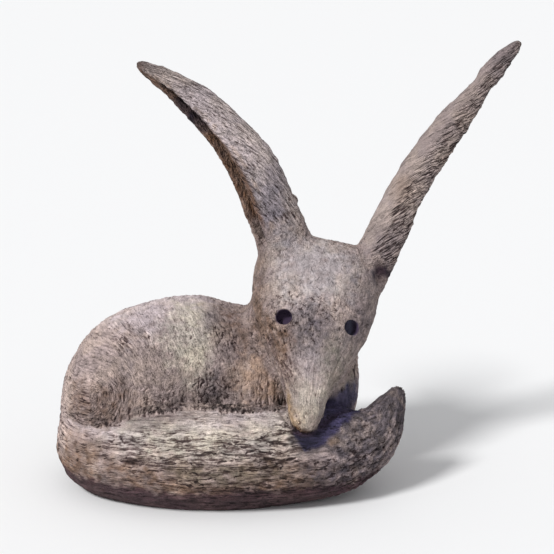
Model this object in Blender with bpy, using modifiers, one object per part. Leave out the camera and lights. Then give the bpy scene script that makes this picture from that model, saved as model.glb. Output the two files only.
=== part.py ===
"""A cast stone fox, curled up with its tail round the front, its nose on its tail and two long ears raised.

Metres, +Z up. Seen from the front, along +Y, the rump is on the left and the head on the right.
The origin is on the ground, under the middle of the statue's box.
"""

import math

import bmesh
import bpy
from mathutils import Matrix, Vector

# Driving dimensions
BODY_LENGTH = 0.340  # from the rump to the tip of the tail
EAR_WALL = 0.0075  # thickness of the leaf that each ear is folded from
EYE_BORE_DIAMETER = 0.0150  # the eyes are plain drilled holes
EYE_BORE_DEPTH = 0.0120  # measured down from the face

# The pose and the proportions follow the body's length. They are given in 340ths of it, so the numbers
# in the rows below are millimetres at this size.
UNIT = BODY_LENGTH / 340

# The finish
STONE_COLOUR = (0.262, 0.216, 0.195, 1.0)
STONE_ROUGHNESS = 0.92

# The torso, from the chest round the back to the rump: centre, half width, half height
TORSO = [
    (28, -38, 62, 24, 46),
    (27, -14, 74, 43, 68),
    (14, 12, 82, 62, 82),
    (-20, 26, 77, 74, 79),
    (-62, 27, 84, 78, 87),
    (-104, 20, 84, 76, 90),
    (-138, 4, 76, 72, 92),
    (-164, -14, 64, 60, 84),
    (-178, -34, 54, 42, 62),
]

# What swells out of the torso: centre, radii
SWELLINGS = {
    "haunch": ((-176, -10, 64), (48, 72, 82)),
    "shoulder": ((-30, 6, 82), (44, 64, 74)),
    "cheek": ((-11, 6, 160), (28, 31, 46)),
    "base": ((-72, -13, 22), (151, 101, 52)),
}

# The neck, upwards: centre, half width, half depth
NECK = [
    (-8, 22, 80, 50, 48),
    (4, 28, 115, 62, 57),
    (16, 31, 150, 63, 59),
    (25, 33, 180, 54, 49),
    (29, 30, 205, 46, 34),
    (31, 26, 220, 28, 16),
]

# The tail, from the rump round the front to the raised tip: centre, half width, half height
TAIL = [
    (-178, 30, 42, 30, 35),
    (-190, -8, 41, 38, 43),
    (-175, -49, 39, 43, 44),
    (-130, -74, 45, 46, 48),
    (-80, -82, 47, 46, 50),
    (-25, -79, 46, 45, 48),
    (25, -70, 45, 41, 45),
    (60, -60, 49, 35, 38),
    (84, -52, 60, 26, 28),
    (97, -46, 79, 17, 17),
    (106, -42, 96, 8, 9),
    (108, -41, 102, 3, 3),
]

# The head in its own frame, from the nape to the nose: way forward, height of the centre, half width
# and half height
HEAD = [
    (-22, 2, 12, 8),
    (-12, 2, 46, 32),
    (2, 2, 60, 46),
    (20, 1, 63, 48),
    (41, 0, 62, 46),
    (60, 0, 58.5, 43),
    (82, 0, 51, 38),
    (102, 0, 41.5, 33),
    (124, 0, 31, 27),
    (146, 0, 23, 21),
    (162, 1, 18, 17),
    (174, 2, 14.5, 13),
    (182, 3, 10, 9),
    (186, 3, 5, 5),
]
SKULL_SQUARENESS = 2.9  # the power of the rounded section, which is 2 for an oval
NOSE_SQUARENESS = 2.2
JAW_NARROWING = 0.22  # how much narrower the underside of the head is

# Where the head sits, and how it turns in degrees
HEAD_PLACE = (28, 33, 200)
HEAD_PITCH = 42
HEAD_ROLL = 10.5
HEAD_YAW = 4

# The eyes' bores in the head's frame: way forward, way out from the middle, then how far in degrees
# they slant outwards and lean towards the nose
EYE_FORWARD = 70
EYE_OUT = 28
EYE_SLANT = 8
EYE_LEAN = 22

# Each ear, upwards: centre, depth from the fold to the lips, breadth from lip to lip
LEFT_EAR = [
    (4, 12, 205, 52, 44),
    (-2, 12, 233, 51, 44),
    (-17, 14, 271, 47, 42),
    (-33, 16, 307, 45, 40),
    (-56, 18, 339, 38, 36),
    (-86, 20, 368, 31, 30),
    (-110, 22, 385, 23, 22),
    (-133, 24, 398, 14, 14),
    (-145, 25, 404, 6, 7),
]
RIGHT_EAR = [
    (74, 17, 190, 38, 38),
    (88, 18, 225, 38, 40),
    (101, 18, 254, 36, 40),
    (115, 20, 284, 33, 38),
    (135, 22, 316, 31, 36),
    (157, 24, 347, 29, 32),
    (173, 25, 367, 23, 28),
    (184, 26, 382, 16, 24),
    (192, 27, 393, 21, 21),
    (208, 29, 411, 15, 15),
    (221, 30, 424, 6, 7),
]
LEFT_EAR_OPENS = 22  # degrees that the hollow turns from straight out towards the front
RIGHT_EAR_OPENS = -6
EAR_WRAP = 122  # degrees that the leaf wraps to each side of its fold
EAR_WALL_MOST = 0.42  # the largest share of its breadth that the leaf takes near the tip

# How finely the masses are drawn and fused, and how many triangles of the result are kept
CURVE_STEPS = 400
BODY_STATIONS = 40
EAR_STATIONS = 48
TAIL_STATIONS = 60
OVAL_POINTS = 28
SKULL_POINTS = 36
LEAF_POINTS = 14
BALL_SEGMENTS = 40
BALL_RINGS = 24
BORE_SEGMENTS = 24
BODY_CELLS = 85  # voxels in the body's length when the body is fused
BODY_SMOOTHING = 12
SKIN_CELLS = 170  # and when the whole fox is
SKIN_SMOOTHING = 5
TRIANGLES = 8200

# How far the cutters reach past what they cut, as a share of the body's length
CUTTER_REACH = 0.15


# Small helpers

def clear_scene():
    for obj in list(bpy.data.objects):
        bpy.data.objects.remove(obj)


def new_collection(name):
    collection = bpy.data.collections.new(name)
    bpy.context.scene.collection.children.link(collection)
    return collection


def mesh_object(name, bm, collection):
    mesh = bpy.data.meshes.new(name)
    bm.to_mesh(mesh)
    bm.free()
    obj = bpy.data.objects.new(name, mesh)
    collection.objects.link(obj)
    return obj


def stone():
    material = bpy.data.materials.new("cast_stone")
    material.use_nodes = True
    shader = material.node_tree.nodes["Principled BSDF"]
    shader.inputs["Base Color"].default_value = STONE_COLOUR
    shader.inputs["Roughness"].default_value = STONE_ROUGHNESS
    shader.inputs["Metallic"].default_value = 0.0
    return material


def apply_modifiers(obj):
    """Replaces the object's mesh by what its modifiers make of it."""
    bpy.context.view_layer.update()
    graph = bpy.context.evaluated_depsgraph_get()
    mesh = bpy.data.meshes.new_from_object(obj.evaluated_get(graph))
    obj.modifiers.clear()
    obj.data = mesh


def fuse(name, pieces, cells, smoothing, collection):
    """One skin round several overlapping masses, with its creases softened."""
    bm = bmesh.new()
    for piece in pieces:
        bm.from_mesh(piece.data)
        bpy.data.objects.remove(piece)
    fused = mesh_object(name, bm, collection)
    remesh = fused.modifiers.new("Fuse", "REMESH")
    remesh.mode = "VOXEL"
    remesh.voxel_size = BODY_LENGTH / cells
    remesh.adaptivity = 0.0
    smooth = fused.modifiers.new("Soften", "SMOOTH")
    smooth.factor = 0.5
    smooth.iterations = smoothing
    apply_modifiers(fused)
    return fused


# Skins over rows of stations

def curve_point(rows, t):
    """The row at t along a Catmull-Rom curve through the given rows."""
    last = len(rows) - 1
    i = min(int(t), last - 1)
    s = t - i
    before = rows[max(i - 1, 0)]
    beyond = rows[min(i + 2, last)]
    row = []
    for a, b, c, d in zip(before, rows[i], rows[i + 1], beyond):
        row.append(b + s / 2 * (c - a + s * (2 * a - 5 * b + 4 * c - d + s * (3 * b - a - 3 * c + d))))
    return row


def even_rows(rows, count):
    """Rows along that curve, evenly spaced by the length of its centre line."""
    fine = [curve_point(rows, (len(rows) - 1) * i / CURVE_STEPS) for i in range(CURVE_STEPS + 1)]
    run = [0.0]
    for here, after in zip(fine, fine[1:]):
        run.append(run[-1] + math.dist(here[:3], after[:3]))
    picked = []
    k = 0
    for i in range(count):
        wanted = run[-1] * i / (count - 1)
        while k < CURVE_STEPS - 1 and run[k + 1] < wanted:
            k += 1
        s = (wanted - run[k]) / (run[k + 1] - run[k])
        picked.append([here + (after - here) * s for here, after in zip(fine[k], fine[k + 1])])
    return picked


def loft(name, rows, count, section, up, collection):
    """A skin over rings. A row is a centre, then the sizes from which section draws its ring."""
    rows = even_rows([[value * UNIT for value in row] for row in rows], count)
    centres = [Vector(row[:3]) for row in rows]
    bm = bmesh.new()
    rings = []
    for i, row in enumerate(rows):
        tangent = (centres[min(i + 1, count - 1)] - centres[max(i - 1, 0)]).normalized()
        high = (up - tangent * up.dot(tangent)).normalized()
        side = high.cross(tangent)
        points = section(row[3:], i / (count - 1))
        rings.append([bm.verts.new(centres[i] + side * x + high * y) for x, y in points])
    for ring, after in zip(rings, rings[1:]):
        for k in range(len(ring)):
            n = (k + 1) % len(ring)
            bm.faces.new((ring[k], ring[n], after[n], after[k]))
    bm.faces.new(list(reversed(rings[0])))
    bm.faces.new(rings[-1])
    bmesh.ops.recalc_face_normals(bm, faces=bm.faces)
    return mesh_object(name, bm, collection)


# The shapes of the rings

def oval(sizes, _share):
    half_width, half_height = sizes
    for k in range(OVAL_POINTS):
        a = 2 * math.pi * k / OVAL_POINTS
        yield half_width * math.cos(a), half_height * math.sin(a)


def skull(sizes, share):
    """A rounded box at the nape that turns into an oval at the nose, narrower under the jaw."""
    half_width, half_height = sizes
    power = 2 / (SKULL_SQUARENESS + (NOSE_SQUARENESS - SKULL_SQUARENESS) * share)
    for k in range(SKULL_POINTS):
        a = 2 * math.pi * k / SKULL_POINTS
        x = math.copysign(abs(math.cos(a)) ** power, math.cos(a))
        y = math.copysign(abs(math.sin(a)) ** power, math.sin(a))
        jaw = 1 - JAW_NARROWING * max(0.0, -y)
        yield half_width * x * jaw, half_height * y


def folded_leaf(sizes, _share):
    """A C, open upwards: the outside of the leaf round its fold, then the inside back again."""
    depth, breadth = sizes
    wall = min(EAR_WALL, EAR_WALL_MOST * breadth)
    wrap = math.radians(EAR_WRAP)
    angles = [-wrap + 2 * wrap * k / (LEAF_POINTS - 1) for k in range(LEAF_POINTS)]
    full = 1 - math.cos(wrap)
    for a in angles:
        rise = (1 - math.cos(a)) / full
        yield breadth / 2 * math.sin(a), depth * rise - depth / 2
    for a in reversed(angles):
        rise = (1 - math.cos(a)) / full
        yield (breadth / 2 - wall) * math.sin(a), (depth - wall) * rise - depth / 2 + wall


# The masses of the fox

def swelling(name, centre, radii, collection):
    bm = bmesh.new()
    place = Matrix.Translation(Vector(centre) * UNIT) @ Matrix.Diagonal((*(Vector(radii) * UNIT), 1))
    bmesh.ops.create_uvsphere(bm, u_segments=BALL_SEGMENTS, v_segments=BALL_RINGS, radius=1.0, matrix=place)
    return mesh_object(name, bm, collection)


def make_body(collection):
    """The torso, its swellings and the neck, fused coarsely so that they flow into each other."""
    masses = [swelling(name, *mass, collection) for name, mass in SWELLINGS.items()]
    masses.append(loft("torso", TORSO, BODY_STATIONS, oval, Vector((0, 0, 1)), collection))
    masses.append(loft("neck", NECK, BODY_STATIONS, oval, Vector((0, -1, 0)), collection))
    return fuse("body", masses, BODY_CELLS, BODY_SMOOTHING, collection)


def head_matrix():
    yaw = Matrix.Rotation(math.radians(HEAD_YAW), 4, "Z")
    roll = Matrix.Rotation(math.radians(HEAD_ROLL), 4, "Y")
    pitch = Matrix.Rotation(math.radians(HEAD_PITCH), 4, "X")
    return Matrix.Translation(Vector(HEAD_PLACE) * UNIT) @ yaw @ roll @ pitch


def make_head(collection):
    rows = [(0, -forward, height, *half_sizes) for forward, height, *half_sizes in HEAD]
    head = loft("head", rows, BODY_STATIONS, skull, Vector((0, 0, 1)), collection)
    head.data.transform(head_matrix())
    return head


def make_ear(name, rows, side, opens, collection):
    """An ear whose hollow faces outwards: side is -1 for the left one and 1 for the right one."""
    a = math.radians(opens)
    opening = Vector((side * math.cos(a), -math.sin(a), 0))
    return loft(name, rows, EAR_STATIONS, folded_leaf, opening, collection)


# The cuts

def make_cutter(name, bm, collection):
    cutter = mesh_object(name, bm, collection)
    cutter.hide_render = True
    cutter.display_type = "WIRE"
    return cutter


def cut(obj, cutter):
    boolean = obj.modifiers.new(cutter.name, "BOOLEAN")
    boolean.operation = "DIFFERENCE"
    boolean.solver = "EXACT"
    boolean.object = cutter


def stand_flat(fox, collection):
    """Trims everything below the ground, so that the fox stands on one flat underside."""
    reach = BODY_LENGTH * CUTTER_REACH
    width = fox.dimensions.x + 2 * reach
    place = Matrix.Translation((0, 0, -reach)) @ Matrix.Diagonal((width, width, 2 * reach, 1))
    bm = bmesh.new()
    bmesh.ops.create_cube(bm, size=1.0, matrix=place)
    cut(fox, make_cutter("ground_cut", bm, collection))


def drill_eye(fox, head_place, name, side, collection):
    """Drills one eye from the point where its axis meets the face."""
    reach = BODY_LENGTH * CUTTER_REACH
    slant = math.tan(math.radians(EYE_SLANT))
    lean = math.tan(math.radians(EYE_LEAN))
    out = (head_place.to_3x3() @ Vector((side * slant, -lean, 1))).normalized()
    outside = head_place @ (Vector((side * EYE_OUT, -EYE_FORWARD, 0)) * UNIT) + out * BODY_LENGTH
    _hit, face_point, _normal, _index = fox.ray_cast(outside, -out)
    bm = bmesh.new()
    bmesh.ops.create_cone(
        bm,
        cap_ends=True,
        segments=BORE_SEGMENTS,
        radius1=EYE_BORE_DIAMETER / 2,
        radius2=EYE_BORE_DIAMETER / 2,
        depth=EYE_BORE_DEPTH + reach,
    )
    drill = make_cutter(name, bm, collection)
    drill.location = face_point + out * (reach - EYE_BORE_DEPTH) / 2
    drill.rotation_euler = out.to_track_quat("Z", "Y").to_euler()
    cut(fox, drill)


# The whole

def thin_out(obj):
    """Keeps only as many triangles as a faceted solid needs to show the shape."""
    obj.data.calc_loop_triangles()
    decimate = obj.modifiers.new("Thin", "DECIMATE")
    decimate.ratio = TRIANGLES / len(obj.data.loop_triangles)
    decimate.use_collapse_triangulate = True
    apply_modifiers(obj)


def centre_over_origin(obj):
    """Moves the mesh so that the middle of its box is over the origin, and returns the move."""
    xs = [vertex.co.x for vertex in obj.data.vertices]
    ys = [vertex.co.y for vertex in obj.data.vertices]
    move = Matrix.Translation((-(min(xs) + max(xs)) / 2, -(min(ys) + max(ys)) / 2, 0))
    obj.data.transform(move)
    bpy.context.view_layer.update()
    return move


def main():
    clear_scene()
    statue = new_collection("fox_statue")
    cutters = new_collection("cutters")
    masses = [
        make_body(statue),
        make_head(statue),
        make_ear("left_ear", LEFT_EAR, -1, LEFT_EAR_OPENS, statue),
        make_ear("right_ear", RIGHT_EAR, 1, RIGHT_EAR_OPENS, statue),
        loft("tail", TAIL, TAIL_STATIONS, oval, Vector((0, 0, 1)), statue),
    ]
    fox = fuse("fox", masses, SKIN_CELLS, SKIN_SMOOTHING, statue)
    thin_out(fox)
    move = centre_over_origin(fox)
    stand_flat(fox, cutters)
    drill_eye(fox, move @ head_matrix(), "left_eye_drill", -1, cutters)
    drill_eye(fox, move @ head_matrix(), "right_eye_drill", 1, cutters)
    fox.data.materials.append(stone())


if __name__ == "__main__":
    main()
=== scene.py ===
# %% [markdown]
# # A curled fox in cast stone
# The fox is one casting: a clay model was combed and pitted with tools, moulded, and cast in stone.
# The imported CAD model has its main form. This script gives that form the maker's tool marks, its
# pigment and its place in a plain studio.

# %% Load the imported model
import math

import bmesh
import bpy
import numpy as np
from mathutils import Matrix, Vector


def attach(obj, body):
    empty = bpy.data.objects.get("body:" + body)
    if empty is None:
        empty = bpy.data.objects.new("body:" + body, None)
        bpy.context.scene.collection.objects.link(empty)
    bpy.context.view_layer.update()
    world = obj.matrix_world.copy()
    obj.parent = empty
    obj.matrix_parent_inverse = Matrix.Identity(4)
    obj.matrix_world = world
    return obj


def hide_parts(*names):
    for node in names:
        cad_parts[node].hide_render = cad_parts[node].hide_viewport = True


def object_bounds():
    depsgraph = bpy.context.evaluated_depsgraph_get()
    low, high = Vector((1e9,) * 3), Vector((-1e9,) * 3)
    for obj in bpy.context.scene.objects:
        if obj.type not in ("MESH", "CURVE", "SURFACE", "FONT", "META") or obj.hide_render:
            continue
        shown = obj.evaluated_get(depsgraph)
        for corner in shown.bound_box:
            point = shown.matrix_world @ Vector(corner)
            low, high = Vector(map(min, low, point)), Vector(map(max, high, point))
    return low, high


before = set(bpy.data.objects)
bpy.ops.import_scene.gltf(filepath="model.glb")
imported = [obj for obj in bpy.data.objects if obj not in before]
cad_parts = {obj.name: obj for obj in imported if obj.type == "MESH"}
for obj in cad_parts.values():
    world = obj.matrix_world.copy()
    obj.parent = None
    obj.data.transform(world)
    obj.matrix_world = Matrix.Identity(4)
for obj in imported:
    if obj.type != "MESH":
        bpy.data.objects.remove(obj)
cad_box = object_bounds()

MM = 0.001
MOVED = np.array((2.85, 11.69, 0)) * MM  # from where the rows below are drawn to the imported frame
low, high = np.array(cad_box[0]), np.array(cad_box[1])
faces = len(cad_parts["fox"].data.polygons)
print("the fox is", np.round((high - low) / MM, 1), "mm, in", faces, "faces")

# %% [markdown]
# ## The camera
# The photograph looks at the fox from the front and a little above. The camera comes before the
# carving, because every later cell is judged through it. A long lens keeps the ears parallel.

# %% Set up the camera
LOOKS_AT = Vector((-0.00785, 0.01169, 0.1994))
ELEVATION = math.radians(15)
DISTANCE = 1.5
LENS, SENSOR = 100.5, 36

camera_data = bpy.data.cameras.new("camera")
camera_data.lens = LENS
camera_data.sensor_width = SENSOR
camera = bpy.data.objects.new("camera", camera_data)
away = Vector((0, -math.cos(ELEVATION), math.sin(ELEVATION)))
camera.location = LOOKS_AT + away * DISTANCE
camera.rotation_euler = (-away).to_track_quat("-Z", "Y").to_euler()
bpy.context.scene.collection.objects.link(camera)
bpy.context.scene.camera = camera
print("camera at", tuple(round(c, 3) for c in camera.location))

# %% [markdown]
# ## The drilled eyes
# The eyes are two plain holes with crisp rims, which smoothing would blur. So they are found first,
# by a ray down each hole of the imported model: it hits the bottom, and the hole's mouth lies its
# depth above that. Later cells use the distance from a hole's axis to leave its rim alone.

# %% Find the drilled eyes
HEAD_PLACE = Vector((28, 33, 200)) * MM + Vector(MOVED)
HEAD_TURN = (
    Matrix.Rotation(math.radians(4), 3, "Z")
    @ Matrix.Rotation(math.radians(10.5), 3, "Y")
    @ Matrix.Rotation(math.radians(42), 3, "X")
)
EYE_X, EYE_Y = 28, -70  # an eye's place beside and before the nape, in the head's frame, in millimetres
EYE_ASIDE, EYE_FORWARD = math.radians(8), math.radians(22)  # how its hole leans aside and forward
EYE_DEPTH = 12 * MM
RAY_FROM = 0.3  # metres in front of the eye
NOWHERE = 1.0  # a distance beyond any point of the fox


def unit(vectors):
    """The vectors at a length of one."""
    return vectors / np.maximum(np.linalg.norm(vectors, axis=-1, keepdims=True), 1e-12)


def find_eye(side):
    """(the middle of the eye's opening, the way it looks out), from a ray down the drilled hole."""
    lean = Vector((side * math.tan(EYE_ASIDE), -math.tan(EYE_FORWARD), 1))
    out = (HEAD_TURN @ lean).normalized()
    start = HEAD_PLACE + HEAD_TURN @ Vector((side * EYE_X, EYE_Y, 0)) * MM + out * RAY_FROM
    _, bottom, _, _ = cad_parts["fox"].ray_cast(start, -out)
    return np.array(bottom + out * EYE_DEPTH), np.array(out)


EYES = [find_eye(-1), find_eye(1)]


def near_eyes(points):
    """(distance from the axis of the nearer eye, height above its opening) of each point."""
    nearest = np.full(len(points), NOWHERE)
    above = np.full(len(points), NOWHERE)
    for opening, out in EYES:
        offset = points - opening
        height = offset @ out
        off_axis = np.linalg.norm(offset - height[:, None] * out, axis=1)
        here = (np.abs(height) < 2 * EYE_DEPTH) & (off_axis < nearest)
        nearest = np.where(here, off_axis, nearest)
        above = np.where(here, height, above)
    return nearest, above


for opening, out in EYES:
    print("an eye at", np.round(opening / MM, 1), "mm")

# %% [markdown]
# ## A skin fine enough to carve
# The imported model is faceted, as a blank for a sculptor is. Subdivision alone would keep its
# uneven net of large and small faces, so a voxel remesh turns it into an even skin whose points are
# about a millimetre apart. One round of subdivision first takes the edge off the facets, with the
# edges round the eyes kept sharp.

# %% Remesh the solid into an even skin
SKIN_VOXEL = 1.0 * MM
KEPT_SHARP = 13 * MM  # how far from an eye's axis the edges stay sharp
SAME_PLACE = 0.001 * MM


def apply_modifiers(thing):
    """Replaces the object's mesh by what its modifiers make of it."""
    seen = thing.evaluated_get(bpy.context.evaluated_depsgraph_get())
    made = bpy.data.meshes.new_from_object(seen)
    thing.modifiers.clear()
    thing.data = made


def even_skin(node, voxel):
    """A copy of a CAD node with its corners joined, rounded once, and remeshed to even squares."""
    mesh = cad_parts[node].data.copy()
    sheet = bmesh.new()
    sheet.from_mesh(mesh)
    bmesh.ops.remove_doubles(sheet, verts=sheet.verts, dist=SAME_PLACE)
    sheet.verts.index_update()
    sharp = sheet.edges.layers.float.new("crease_edge")
    close = near_eyes(np.array([v.co for v in sheet.verts]))[0] < KEPT_SHARP
    for edge in sheet.edges:
        edge[sharp] = 1.0 if all(close[v.index] for v in edge.verts) else 0.0
    sheet.to_mesh(mesh)
    sheet.free()
    thing = bpy.data.objects.new("fox_stone", mesh)
    bpy.context.scene.collection.objects.link(thing)
    thing.modifiers.new("round", "SUBSURF").levels = 1
    apply_modifiers(thing)
    remesh = thing.modifiers.new("skin", "REMESH")
    remesh.mode = "VOXEL"
    remesh.voxel_size = voxel
    apply_modifiers(thing)
    return thing


def read_points(thing):
    """The places of the object's points, one row each."""
    points = np.empty(len(thing.data.vertices) * 3)
    thing.data.vertices.foreach_get("co", points)
    return points.reshape(-1, 3)


def write_points(thing, points):
    """Moves the object's points to the given places."""
    thing.data.vertices.foreach_set("co", points.astype(np.float32).ravel())
    thing.data.update()


def read_normals(thing):
    """Which way the skin faces at each point."""
    normals = np.empty(len(thing.data.vertices) * 3)
    thing.data.vertices.foreach_get("normal", normals)
    return normals.reshape(-1, 3)


fox = even_skin("fox", SKIN_VOXEL)
points = read_points(fox)
print("the skin has", len(points), "points")

# %% [markdown]
# ## Which way the hair lies
# The maker dragged a comb along each limb, so the marks follow the form. Each limb gets its own
# coordinates: how far along it a point lies, and two offsets across it. A pattern that is stretched
# along the first one follows the limb round every bend.

# %% The centre lines of the tail, the ears and the head
# Each row: centre x, y and z, half width, half height, in millimetres
TAIL = [
    (-178, 30, 42, 30, 35),
    (-190, -8, 41, 38, 43),
    (-175, -49, 39, 43, 44),
    (-130, -74, 45, 46, 48),
    (-80, -82, 47, 46, 50),
    (-25, -79, 46, 45, 48),
    (25, -70, 45, 41, 45),
    (60, -60, 49, 35, 38),
    (84, -52, 60, 26, 28),
    (97, -46, 79, 17, 17),
    (106, -42, 96, 8, 9),
    (108, -41, 102, 5, 5),
]
LEFT_EAR = [
    (4, 12, 205, 26, 22),
    (-2, 12, 233, 26, 22),
    (-17, 14, 271, 24, 21),
    (-33, 16, 307, 22, 20),
    (-56, 18, 339, 19, 18),
    (-86, 20, 368, 16, 15),
    (-110, 22, 385, 12, 11),
    (-133, 24, 398, 8, 8),
    (-145, 25, 404, 6, 6),
]
RIGHT_EAR = [
    (74, 17, 190, 19, 19),
    (88, 18, 225, 19, 20),
    (101, 18, 254, 18, 20),
    (115, 20, 284, 17, 19),
    (135, 22, 316, 16, 18),
    (157, 24, 347, 15, 16),
    (173, 25, 367, 12, 14),
    (184, 26, 382, 9, 12),
    (192, 27, 393, 10, 10),
    (208, 29, 411, 8, 8),
    (221, 30, 424, 6, 6),
]
# Each row: distance forward from the nape, half width, half height
HEAD = [(0, 60, 46), (20, 63, 48), (60, 58, 43), (82, 51, 38), (102, 41, 33), (124, 31, 27)]
HEAD += [(146, 23, 21), (162, 18, 17), (174, 14.5, 13), (186, 9, 8)]
print("the head is", HEAD[-1][0], "mm long from the nape to the nose")

# %% Coordinates that follow a limb
LINE_STEPS = 260


def smooth_rows(rows, count):
    """More rows along a smooth curve through the given ones."""
    rows = np.array(rows, float)
    held = np.vstack([2 * rows[0] - rows[1], rows, 2 * rows[-1] - rows[-2]])
    t = np.linspace(0, len(rows) - 1.000001, count)
    i = t.astype(int)
    f = (t - i)[:, None]
    a, b, c, d = held[i], held[i + 1], held[i + 2], held[i + 3]
    slope, bow, twist = c - a, 2 * a - 5 * b + 4 * c - d, 3 * b - a - 3 * c + d
    return 0.5 * (2 * b + slope * f + bow * f**2 + twist * f**3)


class Limb:
    """Coordinates that follow a limb: along it, and across it as shares of its half sizes."""

    def __init__(self, rows, face):
        rows = smooth_rows(rows, LINE_STEPS)
        self.line = rows[:, :3] * MM + MOVED
        self.half = rows[:, 3:] * MM
        self.tangent = unit(np.gradient(self.line, axis=0))
        self.side = unit(np.cross(self.tangent, face))
        self.up = np.cross(self.side, self.tangent)
        steps = np.linalg.norm(np.diff(self.line, axis=0), axis=1)
        self.run = np.concatenate([[0], np.cumsum(steps)])

    def read(self, points):
        """(distance along, side share, up share, the offset from the line) of each point."""
        far = (self.line**2).sum(1) - 2 * points @ self.line.T
        i = far.argmin(1)
        offset = points - self.line[i]
        along = self.run[i] + (offset * self.tangent[i]).sum(1)
        side = (offset * self.side[i]).sum(1) / self.half[i, 0]
        up = (offset * self.up[i]).sum(1) / self.half[i, 1]
        return along, side, up, offset


tail_limb = Limb(TAIL, (0, 0, 1))
left_limb = Limb(LEFT_EAR, (0, -1, 0))
right_limb = Limb(RIGHT_EAR, (0, -1, 0))
for name, limb in (("tail", tail_limb), ("left ear", left_limb), ("right ear", right_limb)):
    print(name, "is", round(limb.run[-1] / MM), "mm long along its middle")

# %% [markdown]
# ## Chance, held still
# Nothing on a hand-made surface is even, so most cells need a value that changes from place to
# place by chance. A table of random numbers from a fixed seed, blended smoothly between its cells,
# gives that: the same one every time the script runs, at any size that is asked for.

# %% A soft random pattern
TABLE_SIDE = 32


def pattern(places, size, seed):
    """Smooth random values from -1 to 1 that change over about size."""
    table = np.random.default_rng(seed).uniform(-1, 1, (TABLE_SIDE, TABLE_SIDE, TABLE_SIDE))
    q = places / size
    whole = np.floor(q).astype(int)
    f = q - whole
    f = f * f * (3 - 2 * f)
    total = np.zeros(len(places))
    for corner in np.ndindex(2, 2, 2):
        share = np.prod(np.where(corner, f, 1 - f), axis=1)
        x, y, z = ((whole + corner) % TABLE_SIDE).T
        total += share * table[x, y, z]
    return total


print("a centimetre pattern spreads by", round(pattern(points, 10 * MM, 0).std(), 2))

# %% [markdown]
# ## Masks
# A mask says how much a point belongs to a region, from 0 to 1, with a soft edge. The same masks
# decide how the skin is smoothed, which way the comb runs, and where each pigment lies.

# %% A soft step, and the head's own coordinates
def step(low_end, high_end, value):
    """0 below the low end, 1 above the high end, and smooth between. The ends may be swapped."""
    t = np.clip((value - low_end) / (high_end - low_end), 0, 1)
    return t * t * (3 - 2 * t)


def read_head(points):
    """(distance forward, side share, up share) in the head's own frame."""
    local = (points - np.array(HEAD_PLACE)) @ np.array(HEAD_TURN)
    forward = -local[:, 1]
    rows = np.array(HEAD) * MM
    side = local[:, 0] / np.interp(forward, rows[:, 0], rows[:, 1])
    up = local[:, 2] / np.interp(forward, rows[:, 0], rows[:, 2])
    return forward, side, up


print("the head holds", (np.hypot(*read_head(points)[1:]) < 1).sum(), "points")

# %% [markdown]
# ## The crease and the nook
# In front, the haunch meets the tail in a ragged crease, and right of the nose the jaw, the neck
# and the tail shut in a nook, where shade is painted later. Both edges show from the front, so they
# are drawn as lines in millimetres, and a little chance makes them uneven. From here on, the two ends
# of a step are where a mask starts and where it is full.

# %% Find the crease and the nook
# Where the haunch meets the tail in front: x, and the height as it looks from the camera
CREASE = [(-215, 63), (-201, 58), (-187, 55), (-174, 53), (-161, 56), (-150, 61), (-139, 65)]
CREASE += [(-121, 67), (-107, 69), (-93, 72), (-71, 72), (-53, 69), (-26, 69), (-2, 71)]
CREASE_UNEVEN = 1.6
# The nook ends on a line over the tail: two places on it, x and y
NOOK_EDGE = np.array([(71, -49), (41, -97)])
NOOK_UNEVEN = 3
NOOK_LOWEST, NOOK_LOWEST_X = 62, 18  # the lowest height of its edge, and the x of that place
NOOK_RISE_LEFT, NOOK_RISE_RIGHT = 1.3, 0.33  # how steeply the edge climbs on both sides


def near_crease(points):
    """(height above the crease's ragged line, how much a point is on its side of the fox)."""
    x, y, z = points.T / MM
    seen_height = z * math.cos(ELEVATION) + y * math.sin(ELEVATION)
    above = seen_height - np.interp(x, *np.array(CREASE).T)
    above = above + CREASE_UNEVEN * pattern(points, 5 * MM, 90)
    return above, step(-22, -36, y) * step(8, -2, x)


def near_nook(points):
    """How much each point lies in the nook between the nose, the neck and the tail, where shade is
    painted.
    """
    x, y, z = points.T / MM
    run_x, run_y = unit(NOOK_EDGE[1] - NOOK_EDGE[0])
    uneven = NOOK_UNEVEN * pattern(points, 6 * MM, 91)
    inside = (x - NOOK_EDGE[0, 0]) * run_y - (y - NOOK_EDGE[0, 1]) * run_x + uneven
    left = NOOK_RISE_LEFT * np.maximum(NOOK_LOWEST_X - x, 0)
    right = NOOK_RISE_RIGHT * np.maximum(x - NOOK_LOWEST_X, 0)
    low_edge = step(-1.5, 2, z - (NOOK_LOWEST + left + right) + uneven) * step(4, 9, x)
    return step(-1.5, 1.5, inside) * low_edge * step(98, 90, z) * step(-14, -30, y)


print("the nook holds", (near_nook(points) > 0.5).sum(), "points")

# %% [markdown]
# ## The regions
# Tail, head, ears and body are told apart by how far a point is from each limb's middle, measured
# in the limb's own half sizes. Where two of them meet, one gives way to the other, so that the
# shares of a point never add up to more than one.

# %% Say which region each point belongs to
EAR_STARTS, EAR_FULL = 232 * MM, 262 * MM
# The right ear's comb marks run on down to its root
RIGHT_ROOT_STARTS, RIGHT_ROOT_FULL = 204 * MM, 218 * MM


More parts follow.
